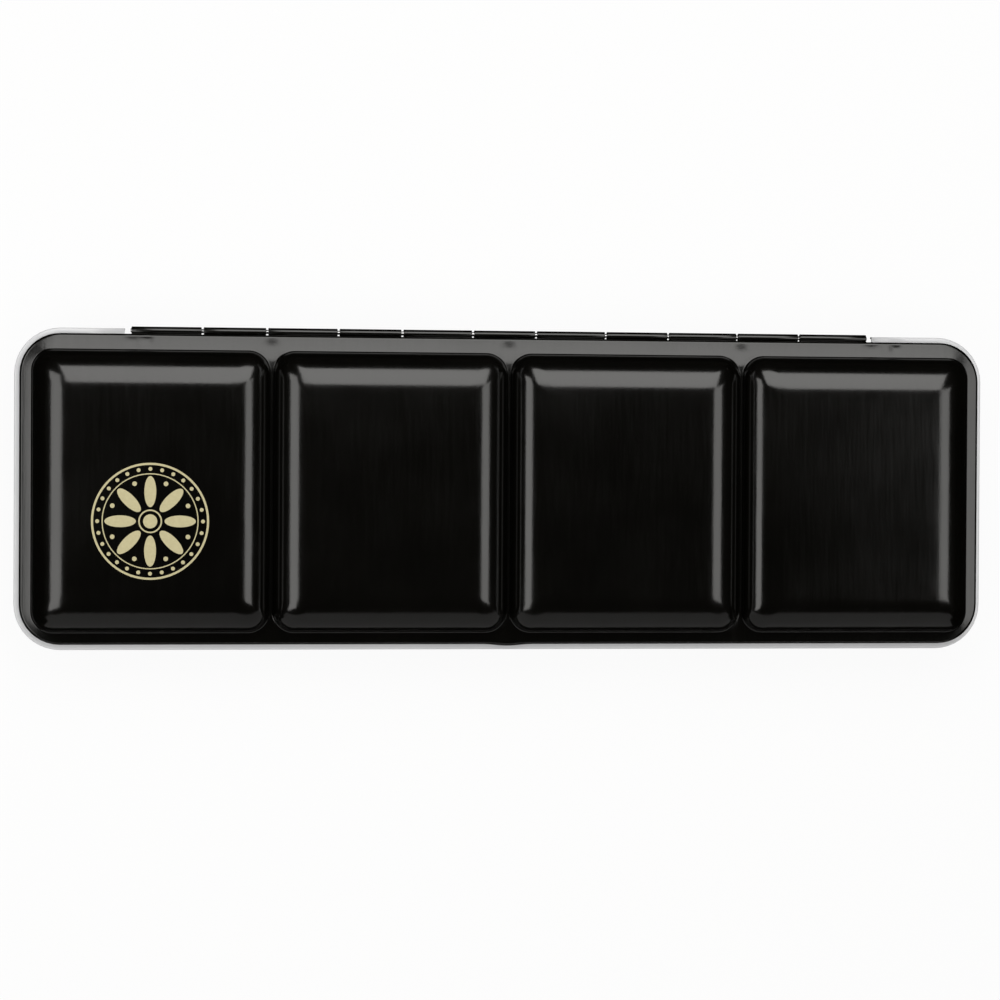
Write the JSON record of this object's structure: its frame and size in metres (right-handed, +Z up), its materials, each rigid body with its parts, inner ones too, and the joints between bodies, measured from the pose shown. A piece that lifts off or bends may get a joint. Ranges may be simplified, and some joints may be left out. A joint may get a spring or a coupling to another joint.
{
  "type": "watercolour box",
  "caption": "Closed black metal watercolour box with mixing wells pressed into its hinged lid, spring clip racks for paint pans inside and a folding thumb ring underneath.",
  "frame": {"origin": "middle of the closed box's outline, on the surface that it stands on", "axes": "+X along the box's length to its right end, +Y across it to the hinge, +Z up through the lid; the front with the catch faces -Y"},
  "size_m": [0.2126, 0.0696, 0.023],
  "materials": {
    "black_lacquer": "satin",
    "tinplate": "satin",
    "plated_rivet": "polished",
    "steel_wire": "polished",
    "white_enamel": "polished",
    "gold_print": "satin"
  },
  "bodies": {
    "base": {"tray": "black_lacquer", "hinge_pin": "steel_wire", "front_pan_rack": "tinplate", "rear_pan_rack": "tinplate", "rack_rivets": "plated_rivet", "ring_strap": "tinplate", "strap_rivets": "plated_rivet"},
    "lid": {"lid": "black_lacquer"},
    "thumb_ring": {"thumb_ring": "steel_wire"}
  },
  "joints": [
    {"name": "lid_hinge", "type": "hinge", "parent": "base", "child": "lid", "pos_m": [0, 0.03413, 0.01445], "axis": [-1, 0, 0], "range_deg": [0, 180]},
    {"name": "ring_hinge", "type": "hinge", "parent": "base", "child": "thumb_ring", "pos_m": [0, 0, 0.00154], "axis": [1, 0, 0], "range_deg": [0, 180]}
  ]
}
